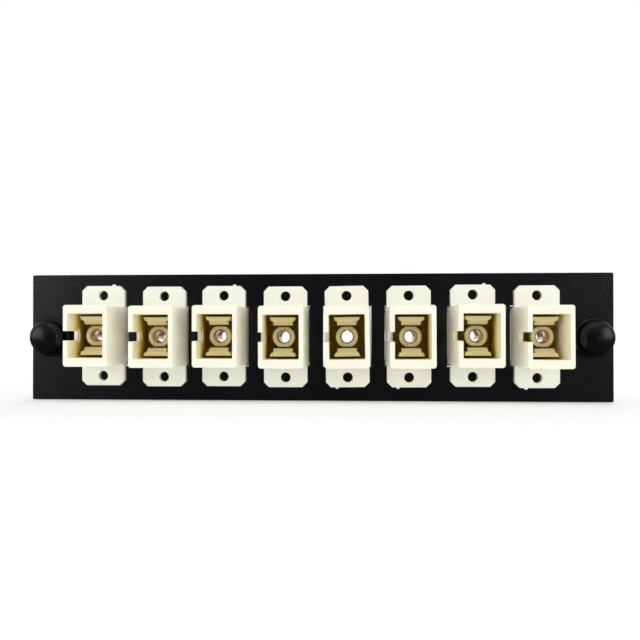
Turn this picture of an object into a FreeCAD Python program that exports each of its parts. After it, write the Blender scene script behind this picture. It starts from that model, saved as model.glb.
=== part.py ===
import FreeCAD, Part
import math
import os
import Sketcher

# A rack panel plate with a row of square fibre adapters and a push-pull latch at each end.
# The plate stands upright: width along X, height along Z, and its front faces -Y.
# The origin is the middle of the plate, on the plane where the two halves of each adapter meet.
# That plane is the middle of the adapter flanges, so the plate's front face lies just behind it.

os.makedirs("parts", exist_ok=True)
doc = FreeCAD.newDocument("fibre_adapter_plate")

# The sizes, in millimetres and degrees. Every shape below is tied to these cells.
SIZES = [
    ("plate_width", 129.5, "plate, left to right"),
    ("plate_height", 28.3, "plate, bottom to top"),
    ("plate_thick", 1.5, "plate sheet"),
    ("plate_corner", 0.4, "plate corner radius"),
    ("latch_inset", 4.425, "latch hole, in from the end of the plate"),
    ("latch_room", 12.0, "least distance from a latch to the axis of an adapter"),
    ("latch_hole", 3.15, "latch hole radius"),
    ("adapter_step", 13.67, "distance between neighbouring adapters"),
    ("row_rise", 0.24, "the row sits this much above the plate's middle"),
    ("cutout_play", 0.3, "cutout, larger than the adapter body all round"),
    ("flange_width", 9.6, "adapter flange"),
    ("flange_height", 22.3, "adapter flange"),
    ("flange_half", 0.82, "each half carries this much of the flange"),
    ("flange_corner", 1.1, "slanting corner of the flange"),
    ("screw_rise", 9.0, "screw hole, from the adapter's axis"),
    ("screw_hole", 1.1, "screw hole radius"),
    ("body_width", 9.35, "adapter body, at the mouth"),
    ("body_draft", 0.0274, "how much each side of the body widens per millimetre towards the flange"),
    ("body_height", 12.95, "adapter body"),
    ("body_corner", 0.6, "adapter body corner radius"),
    ("body_reach", 13.7, "weld plane to the mouth of the socket"),
    ("mouth_width", 7.5, "socket opening"),
    ("mouth_height", 9.35, "socket opening"),
    ("mouth_corner", 0.25, "socket opening corner radius"),
    ("seat_width", 8.1, "seat of the latch insert inside the housing"),
    ("seat_height", 9.9, "seat of the latch insert inside the housing"),
    ("seat_depth", 1.0, "seat of the latch insert inside the housing"),
    ("key_width", 2.0, "key slot"),
    ("key_length", 7.8, "key slot, from the mouth"),
    ("key_corner", 0.3, "key slot corner radius"),
    ("key_dish", 1.5, "round hollow at the inner end of the key slot, radius"),
    ("key_dish_deep", 0.4, "round hollow at the inner end of the key slot"),
    ("overcut", 0.5, "a cut reaches this far past the faces it opens"),
    ("gate_width", 0.8, "moulding nub on the flange edge"),
    ("gate_rise", 0.32, "moulding nub on the flange edge"),
    ("gate_side", 2.4, "moulding nub, from the adapter's axis"),
    ("gate_taper", 0.12, "moulding nub, narrower on each side at its top"),
    ("gate_root", 0.3, "moulding nub, sunk into the flange"),
    ("tube_radius", 2.4, "sleeve holder"),
    ("tube_flat", 2.15, "flat of the sleeve holder"),
    ("tube_reach", 5.5, "sleeve holder, from the weld plane"),
    ("tube_bore", 1.75, "sleeve holder bore radius"),
    ("tube_edge", 0.15, "bevel round the holder's front"),
    ("lip_bore", 1.48, "hole in the holder's front lip, radius"),
    ("lip_thick", 0.5, "holder's front lip"),
    ("lip_slope", 0.2, "lead-in of the lip"),
    ("arm_half", 2.7, "half the width of a latch arm"),
    ("arm_top", 4.17, "outer face of a latch arm, from the axis"),
    ("arm_side", 3.85, "where the arm's side starts to slope in"),
    ("arm_low", 3.35, "inner face of a latch arm, from the axis"),
    ("arm_foot", 2.4, "half the width of a latch arm's inner face"),
    ("arm_reach", 8.5, "latch arm, from the weld plane"),
    ("nose_half", 2.05, "half the width of the hook"),
    ("nose_low", 2.46, "hook tip, from the axis"),
    ("nose_tip", 7.2, "front of the hook tip, from the weld plane"),
    ("nose_heel", 6.6, "back of the hook, from the weld plane"),
    ("nose_root", 0.3, "hook, sunk into its arm"),
    ("sleeve_out", 1.6, "split sleeve outer radius"),
    ("sleeve_in", 1.25, "split sleeve bore radius"),
    ("sleeve_slit", 0.4, "slit of the sleeve"),
    ("clip_thick", 0.3, "spring clip sheet"),
    ("clip_start", 3.5, "clip band, from the weld plane"),
    ("clip_end", 7.1, "clip band, from the weld plane"),
    ("clip_play", 0.03, "clip, clear of the body's sides"),
    ("clip_lip", 1.3, "short ends of the clip on the slotted side"),
    ("tongue_half", 1.7, "half the width of a clip tongue"),
    ("tongue_rise", 1.1, "how far a tongue stands off the body"),
    ("tongue_bend", 0.8, "bend of a tongue, in from the clip's end"),
    ("tongue_bow", 0.28, "rise of a tongue at its bend"),
    ("tongue_gap", 0.9, "free end of a tongue, in from the clip's start"),
    ("collar_radius", 4.4, "latch collar"),
    ("collar_thick", 1.2, "latch collar"),
    ("collar_edge", 0.45, "bevel of the latch collar"),
    ("barrel_play", 0.1, "latch barrel, clear of the plate hole all round"),
    ("rail_thick", 1.7, "room for the rack rail between the plate and the barb"),
    ("barb_rise", 0.45, "latch barb, above the barrel"),
    ("barb_flat", 1.05, "latch barb, level part"),
    ("barrel_end", 9.4, "latch barrel, behind the plate's front face"),
    ("barrel_tip", 2.7, "latch barrel radius at its end"),
    ("barrel_bore", 1.65, "bore of the latch barrel"),
    ("barrel_slit", 0.8, "slits of the latch barrel"),
    ("slit_start", 0.3, "slits of the latch barrel, from the back of the plate"),
    ("knob_foot", 2.9, "plunger head radius on the collar"),
    ("knob_radius", 3.75, "plunger head at its widest"),
    ("knob_wide", 3.3, "widest ring, in front of the plate"),
    ("knob_front", 5.2, "front of the plunger head"),
    ("crown_radius", 2.75, "where the head's crown meets its rounded edge"),
    ("crown_drop", 0.35, "the crown is this much lower at its edge"),
    ("neck_rise", 0.7, "neck of the head, above the collar"),
    ("neck_flare", 0.25, "neck of the head, wider than its foot"),
    ("pin_play", 0.05, "plunger pin, clear of the barrel's bore all round"),
    ("pin_end", 8.9, "plunger pin, behind the plate's front face"),
    ("pin_tip", 0.6, "plunger pin, narrower all round at its end"),
    ("pin_slope", 0.9, "plunger pin, sloping end"),
]

# How each adapter sits on the plate, from left to right: sideways shift, upward shift,
# tilt in degrees, anticlockwise from the front, and where its moulding nub stands.
SEATS = [
    (-0.06, 0.14, 0.0, 1),
    (0.14, -0.05, 0.0, 0),
    (-0.08, 0.04, 0.0, 1),
    (0.04, -0.12, 0.2, 0),
    (0.0, -0.07, 0.9, -1),
    (-0.14, -0.05, 0.3, -1),
    (0.04, 0.13, 0.0, 1),
    (0.2, -0.08, 0.2, -1),
]

sheet = doc.addObject("Spreadsheet::Sheet", "sizes")
sheet.Label = "sizes"
values = {}
row = 0
for row, (word, value, meaning) in enumerate(SIZES, start=1):
    sheet.set(f"A{row}", word)
    sheet.set(f"B{row}", str(value))
    sheet.set(f"C{row}", meaning)
    sheet.setAlias(f"B{row}", word)
    values[word] = value

# As many adapters as fit between the latches stand in a row around the middle of the plate.
row_length = values["plate_width"] - 2 * (values["latch_inset"] + values["latch_room"])
COUNT = 1 + int(row_length // values["adapter_step"])
seats = [SEATS[step % len(SEATS)] for step in range(COUNT)]
for number, seat in enumerate(seats, start=1):
    for word, value in zip(("shift", "lift", "tilt"), seat):
        row += 1
        alias = f"adapter_{number}_{word}"
        sheet.set(f"A{row}", alias)
        sheet.set(f"B{row}", str(value))
        sheet.setAlias(f"B{row}", alias)
        values[alias] = value
doc.recompute()


class Size:
    """A length that carries its value and the spreadsheet words behind it."""

    def __init__(self, value, words):
        self.value = value
        self.words = words

    def __add__(self, other):
        other = size(other)
        return Size(self.value + other.value, f"({self.words} + {other.words})")

    def __sub__(self, other):
        other = size(other)
        return Size(self.value - other.value, f"({self.words} - {other.words})")

    def __mul__(self, factor):
        factor = size(factor)
        return Size(self.value * factor.value, f"({self.words} * {factor.words})")

    def __neg__(self):
        return self * -1

    __radd__ = __add__
    __rmul__ = __mul__


def size(thing):
    """Any number or cell name as a Size."""
    if isinstance(thing, Size):
        return thing
    if isinstance(thing, str):
        return Size(values[thing], f"sizes.{thing}")
    return Size(float(thing), f"({thing})")


def bind(target, path, length):
    """Tie one property of an object to the spreadsheet."""
    target.setExpression(path, size(length).words)


class Flat:
    """A sketch on one of a body's own planes, drawn with sizes instead of plain numbers."""

    def __init__(self, body, name, plane, lift=0):
        self.sketch = body.newObject("Sketcher::SketchObject", name)
        self.sketch.Label = name
        for feature in body.Origin.OriginFeatures:
            if feature.Role == plane:
                self.sketch.AttachmentSupport = [(feature, "")]
        self.sketch.MapMode = "FlatFace"
        bind(self.sketch, "AttachmentOffset.Base.z", lift)

    def tie(self, kind, place, length):
        """One distance or radius, bound to its cell."""
        index = self.sketch.addConstraint(Sketcher.Constraint(kind, *place, size(length).value))
        self.sketch.setExpression(f"Constraints[{index}]", size(length).words)

    def point(self, line, end, across, up):
        """Fix one point of the drawing by its distances from the origin."""
        for kind, axis, length in (("DistanceX", -2, across), ("DistanceY", -1, up)):
            if size(length).value == 0:
                self.sketch.addConstraint(Sketcher.Constraint("PointOnObject", line, end, axis))
            else:
                self.tie(kind, (-1, 1, line, end), length)

    def outline(self, corners):
        """A closed outline through the given corners."""
        corners = [(size(across), size(up)) for across, up in corners]
        spots = [FreeCAD.Vector(across.value, up.value, 0) for across, up in corners]
        first = self.sketch.GeometryCount
        for here, there in zip(spots, spots[1:] + spots[:1]):
            self.sketch.addGeometry(Part.LineSegment(here, there), False)
        self.close(first, corners)
        return self

    def close(self, first, corners):
        """Join each edge to the next and fix the corners."""
        for step, (across, up) in enumerate(corners):
            following = first + (step + 1) % len(corners)
            self.sketch.addConstraint(Sketcher.Constraint("Coincident", first + step, 2, following, 1))
            self.point(first + step, 1, across, up)

    def domed(self, crown, shoulder, ring, rest):
        """A turned head: a crown centred on the axis, a round edge level with the widest ring, then lines."""
        corners = [(size(across), size(up)) for across, up in [crown, shoulder, ring] + rest]
        spots = [FreeCAD.Vector(across.value, up.value, 0) for across, up in corners]
        top, edge, wide = spots[:3]
        drop = edge.y - top.y
        crown_reach = (edge.x ** 2 + drop ** 2) / (2 * drop)
        crown_middle = FreeCAD.Vector(0, top.y + crown_reach, 0)
        inward = wide.x - edge.x
        fall = wide.y - edge.y
        edge_reach = (inward ** 2 + fall ** 2) / (2 * inward)
        edge_middle = FreeCAD.Vector(wide.x - edge_reach, wide.y, 0)
        first = self.sketch.GeometryCount
        for middle, start, stop in ((crown_middle, top, edge), (edge_middle, edge, wide)):
            ring_line = Part.Circle(middle, FreeCAD.Vector(0, 0, 1), (start - middle).Length)
            angles = [math.atan2(spot.y - middle.y, spot.x - middle.x) for spot in (start, stop)]
            self.sketch.addGeometry(Part.ArcOfCircle(ring_line, *angles), False)
        for here, there in zip(spots[2:], spots[3:] + spots[:1]):
            self.sketch.addGeometry(Part.LineSegment(here, there), False)
        self.close(first, corners)
        self.sketch.addConstraint(Sketcher.Constraint("PointOnObject", first, 3, -2))
        self.tie("DistanceY", (-1, 1, first + 1, 3), ring[1])
        return self

    def circle(self, across, up, radius):
        """A circle around a point."""
        middle = FreeCAD.Vector(size(across).value, size(up).value, 0)
        ring = Part.Circle(middle, FreeCAD.Vector(0, 0, 1), size(radius).value)
        line = self.sketch.addGeometry(ring, False)
        self.point(line, 3, across, up)
        self.tie("Radius", (line,), radius)
        return self

    def rounded(self, left, right, low, high, radius):
        """A rectangle with rounded corners."""
        left, right, low, high, radius = (size(each) for each in (left, right, low, high, radius))
        middles = [
            (right - radius, low + radius, -90),
            (right - radius, high - radius, 0),
            (left + radius, high - radius, 90),
            (left + radius, low + radius, 180),
        ]
        first = self.sketch.GeometryCount
        for across, up, start in middles:
            middle = FreeCAD.Vector(across.value, up.value, 0)
            ring = Part.Circle(middle, FreeCAD.Vector(0, 0, 1), radius.value)
            arc = Part.ArcOfCircle(ring, math.radians(start), math.radians(start + 90))
            self.sketch.addGeometry(arc, False)
        ends = [
            (right - radius, low, right, low + radius),
            (right, high - radius, right - radius, high),
            (left + radius, high, left, high - radius),
            (left, low + radius, left + radius, low),
        ]
        for step in range(4):
            here = ends[step]
            there = ends[(step + 1) % 4]
            start = FreeCAD.Vector(here[2].value, here[3].value, 0)
            stop = FreeCAD.Vector(there[0].value, there[1].value, 0)
            line = self.sketch.addGeometry(Part.LineSegment(start, stop), False)
            arc = first + step
            following = first + (step + 1) % 4
            self.sketch.addConstraint(Sketcher.Constraint("Coincident", arc, 2, line, 1))
            self.sketch.addConstraint(Sketcher.Constraint("Coincident", line, 2, following, 1))
            self.point(arc, 1, here[0], here[1])
            self.point(arc, 2, here[2], here[3])
            self.tie("DistanceX", (-1, 1, arc, 3), middles[step][0])
        return self


class Piece:
    """One physical piece: a body with a readable name, built from sketches."""

    def __init__(self, name):
        self.body = doc.addObject("PartDesign::Body", name)
        self.body.Label = name
        self.count = 0

    def flat(self, plane, lift=0):
        self.count += 1
        return Flat(self.body, f"{self.body.Label}_sketch_{self.count}", plane, lift)

    def feature(self, kind, flat, length, turned):
        made = self.body.newObject(f"PartDesign::{kind}", f"{self.body.Label}_{kind}_{self.count}")
        made.Profile = flat.sketch
        made.Reversed = turned
        bind(made, "Length", length)
        flat.sketch.Visibility = False
        return made

    def pad(self, flat, length, back=False):
        """Add material along the sketch's own direction, or against it."""
        return self.feature("Pad", flat, length, back)

    def cut(self, flat, length, back=False):
        """Take material away along the sketch's own direction, or against it."""
        return self.feature("Pocket", flat, length, not back)

    def soften(self, block, radius, shortest):
        """Round the edges that run from front to back and are longer than a given length."""
        doc.recompute()
        names = []
        for index, edge in enumerate(block.Shape.Edges, start=1):
            along = edge.tangentAt(edge.FirstParameter)
            if abs(along.y) > abs(along.x) + abs(along.z) and edge.Length > size(shortest).value:
                names.append(f"Edge{index}")
        made = self.body.newObject("PartDesign::Fillet", f"{self.body.Label}_round")
        made.Base = (block, names)
        bind(made, "Radius", radius)
        return made

    def turn(self, flat):
        """Revolve a profile around the Y axis of the body."""
        made = self.body.newObject("PartDesign::Revolution", f"{self.body.Label}_turn_{self.count}")
        made.Profile = flat.sketch
        made.ReferenceAxis = (flat.sketch, ["V_Axis"])
        made.Angle = 360.0
        flat.sketch.Visibility = False
        return made

    def place(self, across, back, up, tilt=0):
        """Put the piece where it belongs on the plate."""
        self.body.Placement.Rotation = FreeCAD.Rotation(FreeCAD.Vector(0, -1, 0), size(tilt).value)
        bind(self.body, "Placement.Base.x", across)
        bind(self.body, "Placement.Base.y", back)
        bind(self.body, "Placement.Base.z", up)
        if size(tilt).value:
            bind(self.body, "Placement.Rotation.Angle", tilt)


def seat_of(number):
    """Where one adapter sits: its sideways place, its height and its tilt."""
    across = size("adapter_step") * row_place(number) + size(f"adapter_{number}_shift")
    up = size("row_rise") + size(f"adapter_{number}_lift")
    return across, up, size(f"adapter_{number}_tilt")


def body_side(depth):
    """Half the width of an adapter body, this far from the weld plane."""
    return size("body_width") * 0.5 + (size("body_reach") - size(depth)) * size("body_draft")


def row_place(number):
    """An adapter's place in the row, counted in steps from the middle of the plate."""
    return number - (COUNT + 1) / 2


def latch_reach():
    """The latch holes, from the middle of the plate."""
    return size("plate_width") * 0.5 - size("latch_inset")


# The plate

def make_plate():
    plate = Piece("plate")
    half_width = size("plate_width") * 0.5
    half_height = size("plate_height") * 0.5
    sheet_outline = plate.flat("XZ_Plane")
    sheet_outline.rounded(-half_width, half_width, -half_height, half_height, "plate_corner")
    plate.pad(sheet_outline, "plate_thick", back=True)
    holes = plate.flat("XZ_Plane")
    side = body_side(0) + size("cutout_play")
    rise = size("body_height") * 0.5 + size("cutout_play")
    for number in range(1, COUNT + 1):
        across = size("adapter_step") * row_place(number)
        holes.outline([
            (across - side, size("row_rise") - rise),
            (across + side, size("row_rise") - rise),
            (across + side, size("row_rise") + rise),
            (across - side, size("row_rise") + rise),
        ])
    holes.circle(-latch_reach(), 0, "latch_hole")
    holes.circle(latch_reach(), 0, "latch_hole")
    plate.cut(holes, "plate_thick", back=True)
    plate.place(0, "flange_half", 0)
    return plate


# One half of an adapter's outer housing: half the flange, the square body and its key slot

def make_housing(name, number, way, gate):
    half = Piece(name)
    back = way > 0
    side = size("flange_width") * 0.5
    top = size("flange_height") * 0.5
    corner = size("flange_corner")
    flange = half.flat("XZ_Plane")
    flange.outline([
        (-side, -top + corner),
        (-side + corner, -top),
        (side - corner, -top),
        (side, -top + corner),
        (side, top - corner),
        (side - corner, top),
        (-side + corner, top),
        (-side, top - corner),
    ])
    flange.circle(0, "screw_rise", "screw_hole")
    flange.circle(0, -size("screw_rise"), "screw_hole")
    half.pad(flange, "flange_half", back)

    # The body's sides widen towards the flange, as a moulding does to leave its mould.
    tall = size("body_height") * 0.5
    plan = half.flat("XY_Plane", -tall)
    rim_side = body_side("body_reach")
    plan.outline([
        (-body_side(0), 0),
        (body_side(0), 0),
        (rim_side, size("body_reach") * way),
        (-rim_side, size("body_reach") * way),
    ])
    half.soften(half.pad(plan, "body_height"), "body_corner", size("body_reach") * 0.5)

    wide = size("mouth_width") * 0.5
    tall = size("mouth_height") * 0.5
    mouth = half.flat("XZ_Plane")
    mouth.rounded(-wide, wide, -tall, tall, "mouth_corner")
    half.cut(mouth, "body_reach", back)

    wide = size("seat_width") * 0.5
    tall = size("seat_height") * 0.5
    seat = half.flat("XZ_Plane")
    seat.outline([(-wide, -tall), (wide, -tall), (wide, tall), (-wide, tall)])
    half.cut(seat, "seat_depth", back)

    # The key slot runs in from the mouth through the left wall, and ends in a shallow round hollow.
    slot = half.flat("YZ_Plane", -body_side(0) - size("overcut"))
    inner = (size("body_reach") - size("key_length")) * way
    outer = (size("body_reach") + size("overcut")) * way
    near = inner if back else outer
    far = outer if back else inner
    rise = size("key_width") * 0.5
    slot.rounded(near, far, -rise, rise, "key_corner")
    half.cut(slot, body_side(0) - size("mouth_width") * 0.5 + size("overcut") * 2)
    dish = half.flat("YZ_Plane", -size("mouth_width") * 0.5 - size("key_dish_deep"))
    dish.circle(inner + (size("key_dish") - size("key_width") * 0.5) * way, 0, "key_dish")
    half.cut(dish, size("key_dish_deep") + size("overcut"))

    if gate:
        nub = half.flat("XZ_Plane")
        middle = size("gate_side") * gate
        reach = size("gate_width") * 0.5
        edge = size("flange_height") * 0.5 * gate
        outside = edge + size("gate_rise") * gate
        sunk = edge - size("gate_root") * gate
        nub.outline([
            (middle - reach, sunk),
            (middle + reach, sunk),
            (middle + reach - size("gate_taper"), outside),
            (middle - reach + size("gate_taper"), outside),
        ])
        half.pad(nub, "flange_half", back)
    across, up, tilt = seat_of(number)
    half.place(across, 0, up, tilt)
    return half


# One latch insert: a base plate, the tube that holds half of the sleeve, and two hooked arms

def make_insert(name, number, way):
    insert = Piece(name)
    back = way > 0
    wide = size("seat_width") * 0.5
    tall = size("seat_height") * 0.5
    base = insert.flat("XZ_Plane")
    base.outline([(-wide, -tall), (wide, -tall), (wide, tall), (-wide, tall)])
    base.circle(0, 0, "tube_bore")
    insert.pad(base, "seat_depth", back)

    front = size("tube_reach") * way
    tube = insert.flat("XY_Plane")
    tube.outline([
        ("tube_bore", size("seat_depth") * 0.5 * way),
        ("tube_radius", size("seat_depth") * 0.5 * way),
        ("tube_radius", front - size("tube_edge") * way),
        (size("tube_radius") - size("tube_edge"), front),
        (size("lip_bore") + size("lip_slope"), front),
        ("lip_bore", front - size("lip_slope") * way),
        ("lip_bore", front - size("lip_thick") * way),
        ("tube_bore", front - size("lip_thick") * way),
    ])
    insert.turn(tube)

    flats = insert.flat("XZ_Plane", -size("seat_depth") * way)
    for sign in (1, -1):
        near = size("tube_flat") * sign
        reach = size("tube_radius") + size("overcut")
        far = reach * sign
        flats.outline([(-reach, near), (reach, near), (reach, far), (-reach, far)])
    insert.cut(flats, "tube_reach", back)

    arms = insert.flat("XZ_Plane")
    for sign in (1, -1):
        arms.outline([
            (-size("arm_half"), size("arm_top") * sign),
            ("arm_half", size("arm_top") * sign),
            ("arm_half", size("arm_side") * sign),
            ("arm_foot", size("arm_low") * sign),
            (-size("arm_foot"), size("arm_low") * sign),
            (-size("arm_half"), size("arm_side") * sign),
        ])
    insert.pad(arms, "arm_reach", back)

    noses = insert.flat("YZ_Plane", -size("nose_half"))
    for sign in (1, -1):
        sunk = (size("arm_low") + size("nose_root")) * sign
        noses.outline([
            (size("arm_reach") * way, sunk),
            (size("arm_reach") * way, size("arm_low") * sign),
            (size("nose_tip") * way, size("nose_low") * sign),
            (size("nose_heel") * way, size("nose_low") * sign),
            (size("nose_heel") * way, sunk),
        ])
    insert.pad(noses, size("nose_half") * 2)
    across, up, tilt = seat_of(number)
    insert.place(across, 0, up, tilt)
    return insert


# The split sleeve that lines up the two plug tips

def make_sleeve(name, number):
    sleeve = Piece(name)
    reach = size("tube_reach") - size("lip_thick")
    ring = sleeve.flat("XZ_Plane", -reach)
    ring.circle(0, 0, "sleeve_out")
    ring.circle(0, 0, "sleeve_in")
    sleeve.pad(ring, reach * 2)
    slit = sleeve.flat("XZ_Plane", -reach)
    side = size("sleeve_slit") * 0.5
    low = size("sleeve_in") * 0.5
    high = size("sleeve_out") + size("overcut")
    slit.outline([(-side, low), (side, low), (side, high), (-side, high)])
    sleeve.cut(slit, reach * 2)
    across, up, tilt = seat_of(number)
    sleeve.place(across, 0, up, tilt)
    return sleeve


# The sheet-metal clip that grips the rear half and presses its tongues on the back of the plate

def make_clip(name, number):
    clip = Piece(name)
    wide = body_side("clip_start") + size("clip_play")
    tall = size("body_height") * 0.5
    thick = size("clip_thick")
    lip = tall - size("clip_lip")
    band = clip.flat("XZ_Plane", -size("clip_start"))
    band.outline([
        (-wide - thick, tall + thick),
        (wide + thick, tall + thick),
        (wide + thick, -tall - thick),
        (-wide - thick, -tall - thick),
        (-wide - thick, -lip),
        (-wide, -lip),
        (-wide, -tall),
        (wide, -tall),
        (wide, tall),
        (-wide, tall),
        (-wide, lip),
        (-wide - thick, lip),
    ])
    clip.pad(band, size("clip_end") - size("clip_start"), back=True)

    rear_face = size("flange_half") + size("plate_thick")
    tongues = clip.flat("YZ_Plane", -size("tongue_half"))
    for sign in (1, -1):
        foot = tall + thick * 0.5
        tongues.outline([
            ("clip_end", foot * sign),
            ("clip_end", (tall + thick) * sign),
            (size("clip_end") - size("tongue_bend"), (tall + thick + size("tongue_bow")) * sign),
            (rear_face, (tall + thick + size("tongue_rise")) * sign),
            (rear_face, (tall + size("tongue_rise")) * sign),
            (size("clip_start") + size("tongue_gap"), foot * sign),
        ])
    clip.pad(tongues, size("tongue_half") * 2)
    across, up, tilt = seat_of(number)
    clip.place(across, 0, up, tilt)
    return clip


# The latch sleeve that snaps into the plate: a collar in front and a slit barrel behind

def make_grommet(name, side):
    grommet = Piece(name)
    profile = grommet.flat("XY_Plane")
    barrel = size("latch_hole") - size("barrel_play")
    barb = barrel + size("barb_rise")
    rail_back = size("plate_thick") + size("rail_thick")
    profile.outline([
        ("barrel_bore", -size("collar_thick")),
        (size("collar_radius") - size("collar_edge"), -size("collar_thick")),
        ("collar_radius", -size("collar_thick") + size("collar_edge")),
        ("collar_radius", 0),
        (barrel, 0),
        (barrel, rail_back),
        (barb, rail_back + size("barb_rise")),
        (barb, rail_back + size("barb_rise") + size("barb_flat")),
        ("barrel_tip", "barrel_end"),
        ("barrel_bore", "barrel_end"),
    ])
    grommet.turn(profile)
    start = size("plate_thick") + size("slit_start")
    slits = grommet.flat("XZ_Plane", -start)
    half = size("barrel_slit") * 0.5
    far = barb + size("overcut")
    slits.outline([
        (-half, half),
        (-half, far),
        (half, far),
        (half, half),
        (far, half),
        (far, -half),
        (half, -half),
        (half, -far),
        (-half, -far),
        (-half, -half),
        (-far, -half),
        (-far, half),
    ])
    grommet.cut(slits, size("barrel_end"), back=True)
    grommet.place(latch_reach() * side, "flange_half", 0)
    return grommet


# The plunger: a domed head with a pin that spreads the barrel when it is pushed home

def make_plunger(name, side):
    plunger = Piece(name)
    profile = plunger.flat("XY_Plane")
    pin = size("barrel_bore") - size("pin_play")
    crown = (0, -size("knob_front"))
    shoulder = ("crown_radius", size("crown_drop") - size("knob_front"))
    ring = ("knob_radius", -size("knob_wide"))
    profile.domed(crown, shoulder, ring, [
        (size("knob_foot") + size("neck_flare"), -size("collar_thick") - size("neck_rise")),
        ("knob_foot", -size("collar_thick")),
        (pin, -size("collar_thick")),
        (pin, size("pin_end") - size("pin_slope")),
        (pin - size("pin_tip"), "pin_end"),
        (0, "pin_end"),
    ])
    plunger.turn(profile)
    plunger.place(latch_reach() * side, "flange_half", 0)
    return plunger


pieces = [make_plate()]
for number, (shift, lift, tilt, gate) in enumerate(seats, start=1):
    tag = f"adapter_{number}"
    pieces.append(make_housing(f"{tag}_front_housing", number, -1, gate))
    pieces.append(make_housing(f"{tag}_rear_housing", number, 1, 0))
    pieces.append(make_insert(f"{tag}_front_latch_insert", number, -1))
    pieces.append(make_insert(f"{tag}_rear_latch_insert", number, 1))
    pieces.append(make_sleeve(f"{tag}_split_sleeve", number))
    pieces.append(make_clip(f"{tag}_spring_clip", number))
for word, side in (("left", -1), ("right", 1)):
    pieces.append(make_grommet(f"{word}_latch_grommet", side))
    pieces.append(make_plunger(f"{word}_latch_plunger", side))
doc.recompute()

# Every object must be in order and every piece one sound solid before anything is written.
for item in doc.Objects:
    if "Invalid" in item.State or "Error" in item.State:
        raise RuntimeError(f"{item.Label} is not in order: {item.State}")
for piece in pieces:
    shape = piece.body.Shape
    if shape.isNull() or not shape.isValid() or len(shape.Solids) != 1:
        raise RuntimeError(f"{piece.body.Label} is not one sound solid")
    shape.exportStep(f"parts/{piece.body.Label}.step")
print(f"wrote {len(pieces)} pieces")
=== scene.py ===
# %% [markdown]
# A black rack plate with eight cream fibre adapters and a push latch at each end.
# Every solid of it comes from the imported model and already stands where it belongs, in metres.
# This lesson rounds the edges, mixes the finishes, then sets up floor, surroundings, lamps and
# camera. Nothing is modelled again here, because the solids have all the real detail.

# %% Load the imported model
import math

import bpy
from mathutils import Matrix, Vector


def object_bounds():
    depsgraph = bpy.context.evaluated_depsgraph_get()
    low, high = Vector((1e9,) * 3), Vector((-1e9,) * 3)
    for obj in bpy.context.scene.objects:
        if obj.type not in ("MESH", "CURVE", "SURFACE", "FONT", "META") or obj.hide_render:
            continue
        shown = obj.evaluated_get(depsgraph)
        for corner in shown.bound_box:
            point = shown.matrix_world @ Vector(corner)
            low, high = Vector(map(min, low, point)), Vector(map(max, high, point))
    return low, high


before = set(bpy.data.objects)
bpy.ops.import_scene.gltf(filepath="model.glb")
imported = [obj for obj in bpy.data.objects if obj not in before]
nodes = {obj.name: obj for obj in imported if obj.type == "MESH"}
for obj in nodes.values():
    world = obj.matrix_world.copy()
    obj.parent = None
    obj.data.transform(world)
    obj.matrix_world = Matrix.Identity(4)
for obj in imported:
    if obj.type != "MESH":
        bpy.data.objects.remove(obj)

cad_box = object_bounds()
MM = 0.001
print("loaded", len(nodes), "pieces, the whole box is", [[round(v, 4) for v in corner] for corner in cad_box])

# %% [markdown]
# Shader maths could be wired by hand, one Math node at a time, but it reads best as plain sums.
# A Wire holds one output of a node. Adding or multiplying wires adds the Math node that does it,
# so a mask can be turned round by writing 1 - mask.

# %% A wire that can be added and multiplied
class Wire:
    def __init__(self, finish, socket):
        self.finish = finish
        self.socket = socket

    def __add__(self, other):
        return self.finish.maths("ADD", self, other)

    def __sub__(self, other):
        return self.finish.maths("SUBTRACT", self, other)

    def __rsub__(self, other):
        return self.finish.maths("SUBTRACT", other, self)

    def __mul__(self, other):
        return self.finish.maths("MULTIPLY", self, other)

    __radd__ = __add__
    __rmul__ = __mul__


print("wires can be added, subtracted and multiplied")

# %% [markdown]
# A Finish is one material, or the world, with its nodes. Whatever isn't a sum comes from its one
# method called node, which takes the type of the node, its settings and what goes into its
# sockets. The other methods are short names for nodes that several finishes share.

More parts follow.
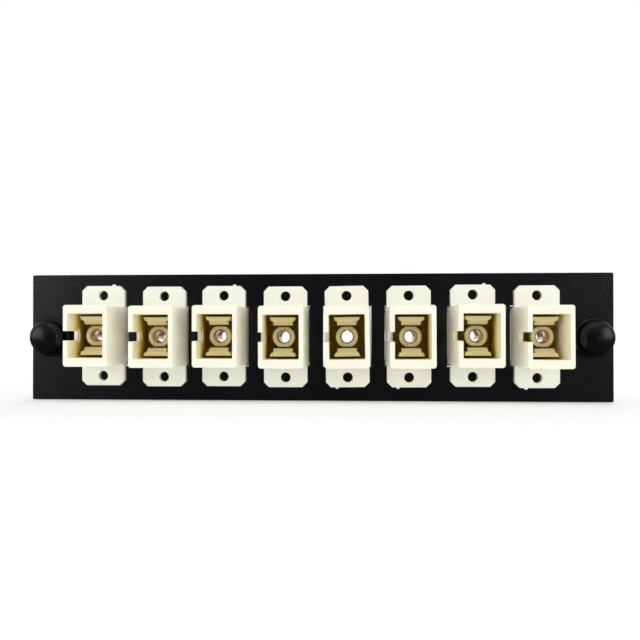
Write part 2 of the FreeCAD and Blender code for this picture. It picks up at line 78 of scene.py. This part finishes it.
# %% A finish and its nodes
class Finish:
    def __init__(self, owner, end_kind):
        owner.use_nodes = True
        self.tree = owner.node_tree
        self.tree.nodes.clear()
        self.end_kind = end_kind

    def node(self, kind, settings=None, inputs=None, out=0):
        made = self.tree.nodes.new(kind)
        for name, value in (settings or {}).items():
            if name == "stops":
                ramp = made.color_ramp.elements
                while len(ramp) < len(value):
                    ramp.new(0.5)
                for stop, (place, colour) in zip(ramp, value):
                    stop.position = place
                    stop.color = (*colour, 1.0)
            else:
                setattr(made, name, value)
        for name, value in (inputs or {}).items():
            if isinstance(value, Wire):
                self.tree.links.new(value.socket, made.inputs[name])
            else:
                made.inputs[name].default_value = value
        return Wire(self, made.outputs[out])

    def maths(self, operation, *values):
        """A Math node with these values or wires."""
        return self.node("ShaderNodeMath", {"operation": operation}, dict(enumerate(values)))

    def place(self):
        """Where on the piece a point lies, in metres."""
        return self.node("ShaderNodeTexCoord", out="Object")

    def cloud(self, per_metre, detail):
        """Soft random grey, with about this many blotches to the metre."""
        return self.node("ShaderNodeTexNoise", inputs={
            "Vector": self.place(), "Scale": per_metre, "Detail": detail, "Roughness": 0.5})

    def mix(self, mask, first, second):
        """The first colour where the mask is 0, the second where it is 1."""
        return self.node("ShaderNodeMix", {"data_type": "RGBA"}, {
            "Factor": mask, 6: first, 7: second}, out=2)

    def blend(self, mask, first, second):
        """The same for two plain colours."""
        return self.mix(mask, (*first, 1.0), (*second, 1.0))

    def relief(self, height, depth, strength):
        """A bump of this depth in metres."""
        return self.node("ShaderNodeBump", inputs={"Height": height, "Distance": depth, "Strength": strength})

    def surface(self, inputs):
        """Close the finish with the all-round shader."""
        self.end(self.node("ShaderNodeBsdfPrincipled", inputs=inputs))

    def end(self, shader):
        last = self.tree.nodes.new(self.end_kind)
        self.tree.links.new(shader.socket, last.inputs["Surface"])


def new_finish(name):
    material = bpy.data.materials.new(name)
    return material, Finish(material, "ShaderNodeOutputMaterial")


print("finishes can be mixed")

# %% [markdown]
# The plate is steel with a black powder coat. Baked powder has a fine orange-peel skin, which
# breaks up every reflection a little. A fine noise, used as a bump, makes that skin without any
# extra mesh. A broad noise lets the sheen wander, and the colour stays a very dark blue-black.

# %% Black powder coat
powder_coat, finish = new_finish("black_powder_coat")
skin = finish.cloud(2600, detail=1.0)
wander = finish.cloud(60, detail=3.0)
finish.surface({
    "Base Color": finish.blend(skin * wander, (0.001, 0.001, 0.002), (0.008, 0.008, 0.010)),
    "Roughness": 0.20 + wander * 0.08,
    "Specular IOR Level": 0.35,
    "Normal": finish.relief(skin, 0.04 * MM, 0.8),
})
print("mixed", powder_coat.name)

# %% [markdown]
# The adapters are cream plastic, and each square socket gets painted shade inside, golden and darker with
# depth. Painting that by hand would need a picture on each wall. Here the place of a point decides: ping-pong
# folds the row of adapters into one, so a single test says whether a point lies in any socket.

# %% Where the sockets are
ADAPTER_STEP = 13.67 * MM
ADAPTER_HALF = 13.7 * MM
SOCKET_HALF_WIDTH = 3.9 * MM
SOCKET_HALF_HEIGHT = 4.8 * MM
SOCKET_MIDDLE = 0.24 * MM
# Ping-pong wants positive numbers, so the row is first moved by far more steps than it has.
STEPS_ASIDE = 50


def inside_socket(finish):
    """A mask that is 1 in a socket, and how far out a point is: 0 at the weld, 1 at the rim."""
    spot = finish.node("ShaderNodeNewGeometry", out="Position")
    across, depth, height = (
        finish.node("ShaderNodeSeparateXYZ", inputs={"Vector": spot}, out=axis) for axis in "XYZ")
    folded = finish.maths("PINGPONG", across + STEPS_ASIDE * ADAPTER_STEP, ADAPTER_STEP * 0.5)
    aside = ADAPTER_STEP * 0.5 - folded
    beside = finish.maths("LESS_THAN", aside, SOCKET_HALF_WIDTH)
    within = finish.maths("LESS_THAN", finish.maths("ABSOLUTE", height - SOCKET_MIDDLE), SOCKET_HALF_HEIGHT)
    return beside * within, finish.maths("ABSOLUTE", depth) * (1 / ADAPTER_HALF)


print("a socket is", round(2 * SOCKET_HALF_WIDTH / MM, 1), "mm wide")
print("there is one every", round(ADAPTER_STEP / MM, 2), "mm")

# %% [markdown]
# Light goes a little way into this plastic and comes back yellower, so some subsurface scattering is mixed
# in. Inside a socket the colour is painted shade and painted bounce light: a colour ramp over the depth turns
# the walls deep gold, then dark brown near the weld, at any light. The outside has a ramp of its own, with a
# little painted shade on the front of the rim. The skin is smooth but not polished, with a faint flow from
# the mould.

# %% Cream plastic
def cream(name, outside, inside):
    """Cream plastic with one row of colours outside and one of painted shade in a socket, both from the weld
    out.
    """
    material, finish = new_finish(name)
    flow = finish.cloud(180, detail=3.0)
    grain = finish.cloud(5200, detail=0.0)
    mask, level = inside_socket(finish)
    shell = finish.node("ShaderNodeValToRGB", {"stops": outside}, {"Fac": level})
    # painted shade: deeper in a socket the colour turns gold, then dark, in place of shade and bounced light
    painted_socket_shade = finish.node("ShaderNodeValToRGB", {"stops": inside}, {"Fac": level + (flow - 0.5) * 0.04})
    finish.surface({
        "Base Color": finish.mix(mask, shell, painted_socket_shade),
        "Roughness": 0.34 + flow * 0.12,
        "Specular IOR Level": 0.2,
        "Subsurface Weight": 0.6,
        "Subsurface Radius": (1.0, 0.75, 0.35),
        "Subsurface Scale": 1.2 * MM,
        "Normal": finish.relief(grain, 0.006 * MM, 0.5),
    })
    return material


housing_plastic = cream("cream_plastic", outside=[
    (0.0, (0.95, 0.92, 0.79)),
    (0.93, (0.95, 0.92, 0.79)),
    # painted shade: the front of the rim is a little darker than the flange
    (0.985, (0.88, 0.855, 0.73)),
], inside=[
    # painted shade in the socket: dark brown at the weld, gold halfway, cream at the rim
    (0.0, (0.50, 0.30, 0.016)),
    (0.36, (0.56, 0.38, 0.022)),
    (0.54, (0.92, 0.76, 0.24)),
    (0.70, (0.96, 0.90, 0.58)),
    (1.0, (0.94, 0.91, 0.78)),
])
print("mixed", housing_plastic.name)

# %% [markdown]
# The latch insert is a second moulding, a shade yellower than the housing. Its base at the bottom of the
# socket gets painted shade, dark gold, while its two hooked arms stand forward into the light and stay
# lighter. The jump in the ramp lies where the arms leave the base.

# %% Yellower plastic of the latch inserts
insert_plastic = cream("cream_insert_plastic", outside=[
    (0.0, (0.80, 0.72, 0.46)),
    (1.0, (0.84, 0.76, 0.52)),
], inside=[
    # painted shade: the base deep in the socket is dark gold, the hooked arms lighter
    (0.0, (0.40, 0.235, 0.014)),
    (0.20, (0.52, 0.34, 0.026)),
    (0.36, (0.62, 0.48, 0.16)),
    (0.40, (0.90, 0.79, 0.46)),
    (0.62, (0.90, 0.78, 0.46)),
])
print("mixed", insert_plastic.name)

# %% [markdown]
# The split sleeves are pale phosphor bronze, seen as a warm ring in each bore, and the hidden
# spring clips are rolled steel. For bare metal the Metallic value is 1 and the colour is that of
# the reflection. A long noise in the roughness gives both the uneven shine of drawn sheet.

# %% Bronze and spring steel
bronze, finish = new_finish("phosphor_bronze")
streak = finish.cloud(900, detail=2.0)
finish.surface({
    "Base Color": finish.blend(streak, (0.88, 0.60, 0.46), (0.97, 0.76, 0.64)),
    "Metallic": 1.0,
    "Roughness": 0.18 + streak * 0.14,
})

clip_steel, finish = new_finish("spring_steel")
streak = finish.cloud(700, detail=3.0)
finish.surface({
    "Base Color": finish.blend(streak, (0.46, 0.46, 0.47), (0.62, 0.62, 0.62)),
    "Metallic": 1.0,
    "Roughness": 0.24 + streak * 0.16,
})
print("mixed", bronze.name, "and", clip_steel.name)

# %% [markdown]
# The latches are black nylon. It is smoother than the powder coat, so the round plunger heads
# catch a clearer highlight, and that alone tells them from the plate behind.

# %% Black nylon
black_nylon, finish = new_finish("black_nylon")
grain = finish.cloud(1500, detail=2.0)
finish.surface({
    "Base Color": finish.blend(grain, (0.002, 0.002, 0.002), (0.004, 0.004, 0.004)),
    "Roughness": 0.17 + grain * 0.10,
    "Specular IOR Level": 0.25,
    "Normal": finish.relief(grain, 0.012 * MM, 0.5),
})
print("mixed", black_nylon.name)

# %% [markdown]
# Every real edge is a little round, and the thin bright line along it is what makes a shape look
# solid. A Weld joins the corners that the file format split, then a Bevel rounds them. Both are
# modifiers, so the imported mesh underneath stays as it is. The plungers are left alone: they are
# turned shapes whose edges are round already, and a weld would spoil the middle of the dome.

# %% Round the edges and give each piece its finish
FINISHES = {
    "plate": (powder_coat, 0.12),
    "housing": (housing_plastic, 0.14),
    "latch_insert": (insert_plastic, 0.07),
    "split_sleeve": (bronze, 0.03),
    "spring_clip": (clip_steel, 0.04),
    "latch_grommet": (black_nylon, 0.08),
    "latch_plunger": (black_nylon, 0.0),
}
SAME_CORNER = 0.002 * MM
SHARPEST_SMOOTH = math.radians(40)
for name, piece in nodes.items():
    material, rounding = next(both for word, both in FINISHES.items() if name.endswith(word))
    for slot in piece.material_slots:
        slot.material = material
    if rounding == 0.0:
        continue
    weld = piece.modifiers.new("weld", "WELD")
    weld.merge_threshold = SAME_CORNER
    bevel = piece.modifiers.new("rounded edges", "BEVEL")
    bevel.width = rounding * MM
    bevel.segments = 2
    bevel.limit_method = "ANGLE"
    bevel.angle_limit = SHARPEST_SMOOTH
    bevel.harden_normals = True
print("dressed", len(nodes), "pieces in", len({material for material, _ in FINISHES.values()}), "finishes")

# %% [markdown]
# The plate stands on a plain white floor, so wide that its edge is never seen. It lies a hair
# below the lowest point, which leaves the soft contact shadow along the bottom of the plate.

# %% The floor
low, high = (Vector(corner) for corner in cad_box)
middle = (low + high) / 2
FLOOR_GAP = 0.2 * MM
FLOOR_REACH = 3.0
corners = [(x, y, low.z - FLOOR_GAP) for x, y in (
    (-FLOOR_REACH, -FLOOR_REACH), (FLOOR_REACH, -FLOOR_REACH),
    (FLOOR_REACH, FLOOR_REACH), (-FLOOR_REACH, FLOOR_REACH))]
floor_mesh = bpy.data.meshes.new("floor")
floor_mesh.from_pydata(corners, [], [(0, 1, 2, 3)])
floor = bpy.data.objects.new("floor", floor_mesh)
bpy.context.scene.collection.objects.link(floor)
print("the floor lies", round(FLOOR_GAP / MM, 1), "mm under the plate")

# %% [markdown]
# Lit by the lamps alone, white paper would come out light grey. So a share of its own glow is mixed in where
# the camera looks at it, less near the plate, where the shadow has to stay, and more farther off. A smaller
# share of that glow lights the adapters, so the floor also shines onto them like a lamp. In mirror-like
# reflections the floor is painted dark, a painted reflection that keeps the lower half of the plate black.

# %% White paper for the floor
WHITE = (0.9, 0.9, 0.9)
# painted reflection: the floor is dark wherever the plate mirrors it
PAINTED_DARK_IN_MIRRORS = (0.12, 0.12, 0.12)
GLOW_AROUND = 0.22
paper, finish = new_finish("white_paper")
seen = finish.node("ShaderNodeLightPath", out="Is Camera Ray")
mirrored = finish.node("ShaderNodeLightPath", out="Is Glossy Ray")
matt = finish.node("ShaderNodeBsdfDiffuse", inputs={"Color": finish.blend(mirrored, WHITE, PAINTED_DARK_IN_MIRRORS)})
glow = finish.node("ShaderNodeEmission", inputs={"Color": (1.0, 1.0, 1.0, 1.0), "Strength": 1.8})
away = finish.node("ShaderNodeVectorMath", {"operation": "LENGTH"}, {0: finish.place()}, out="Value")
fade = finish.node("ShaderNodeMapRange", {"interpolation_type": "SMOOTHSTEP"}, {
    "Value": away, "From Min": 0.08, "From Max": 0.60, "To Min": 0.20, "To Max": 0.40})
share = seen * fade + (1 - seen - mirrored) * GLOW_AROUND
finish.end(finish.node("ShaderNodeMixShader", inputs={0: share, 1: matt, 2: glow}))
floor_mesh.materials.append(paper)
print("mixed", paper.name)

# %% [markdown]
# The surroundings are a white tent. The camera looks in through its open front, so straight behind
# the camera it is dark: that dark patch, mirrored in the plate, keeps its middle black while the
# ends pick up a grey sheen. A little of the height is added to the depth, which lowers the patch
# and leaves the top of the plate lighter than the bottom. Lamps could draw that sheen too, but a
# ramp from front to back sets it without changing the shadows.

# %% The tent around the plate
if bpy.context.scene.world is None:
    bpy.context.scene.world = bpy.data.worlds.new("studio")
PATCH_LOWERED = 0.08
tent = Finish(bpy.context.scene.world, "ShaderNodeOutputWorld")
direction = tent.node("ShaderNodeTexCoord", out="Generated")
along = tent.node("ShaderNodeSeparateXYZ", inputs={"Vector": direction}, out="Y")
upward = tent.node("ShaderNodeSeparateXYZ", inputs={"Vector": direction}, out="Z")
brightness = tent.node("ShaderNodeValToRGB", {"stops": [
    (0.0, (0.004, 0.004, 0.004)),
    (0.010, (0.01, 0.01, 0.01)),
    (0.03, (0.20, 0.20, 0.22)),
    (0.17, (0.22, 0.22, 0.24)),
    (0.34, (0.75, 0.75, 0.75)),
    (1.0, (0.60, 0.60, 0.60)),
]}, {"Fac": along * 0.5 + 0.5 + upward * PATCH_LOWERED})
soft = tent.node("ShaderNodeBackground", inputs={"Color": brightness, "Strength": 1.0})
white = tent.node("ShaderNodeBackground", inputs={"Color": (1.0, 1.0, 1.0, 1.0), "Strength": 1.0})
looked_at = tent.node("ShaderNodeLightPath", out="Is Camera Ray")
tent.end(tent.node("ShaderNodeMixShader", inputs={0: looked_at, 1: soft, 2: white}))
print("the tent is up")

# %% [markdown]
# Two large soft lamps stand left and right of the camera and do most of the work. They reach into
# the sockets, light the side walls and fade over the plate. A weaker one overhead brightens the
# lower hooks and leaves each lower flange in the shade of its own adapter, and one at the back
# keeps the rear readable. Area lamps are used because small ones would draw hard shadows.

# %% The lamps
def lamp(name, place, size, power):
    light = bpy.data.lights.new(name, "AREA")
    light.shape = "SQUARE"
    light.size = size
    light.energy = power
    made = bpy.data.objects.new(name, light)
    made.location = place
    made.rotation_euler = (middle - Vector(place)).to_track_quat("-Z", "Y").to_euler()
    bpy.context.scene.collection.objects.link(made)
    print("hung the", name, "lamp,", power, "W")


lamp("overhead", (0.02, -0.42, 0.42), 0.50, 0.78)
lamp("right front", (0.54, -0.52, 0.02), 0.46, 2.5)
lamp("left front", (-0.53, -0.52, 0.02), 0.46, 2.2)
lamp("back", (0.10, 0.60, 0.35), 0.50, 1.2)

# %% [markdown]
# The camera stands where the photograph was taken from: just right of the middle, level with the
# sockets, and close enough for the outer adapters to show their sides. The photograph is a crop,
# so its middle isn't where the lens pointed. A small shift of the sensor does the same here, and
# unlike turning the camera it keeps the upright edges upright.

# %% The camera
EYE = Vector((7.63, -181.63, 1.01)) * MM
AIM = Vector((-4.50, 0.82, 2.08)) * MM
LENS = 46.04
CROP = (0.037, 0.0125)
camera_data = bpy.data.cameras.new("camera")
camera_data.lens = LENS
camera_data.sensor_width = 36.0
camera_data.shift_x, camera_data.shift_y = CROP
camera_data.clip_start = 0.01
camera_data.clip_end = 20.0
camera = bpy.data.objects.new("camera", camera_data)
camera.location = EYE
camera.rotation_euler = (AIM - EYE).to_track_quat("-Z", "Y").to_euler()
bpy.context.scene.collection.objects.link(camera)
bpy.context.scene.camera = camera
bpy.context.scene.view_settings.view_transform = "Standard"
print("the camera is", round((AIM - EYE).length / MM), "mm from the plate")
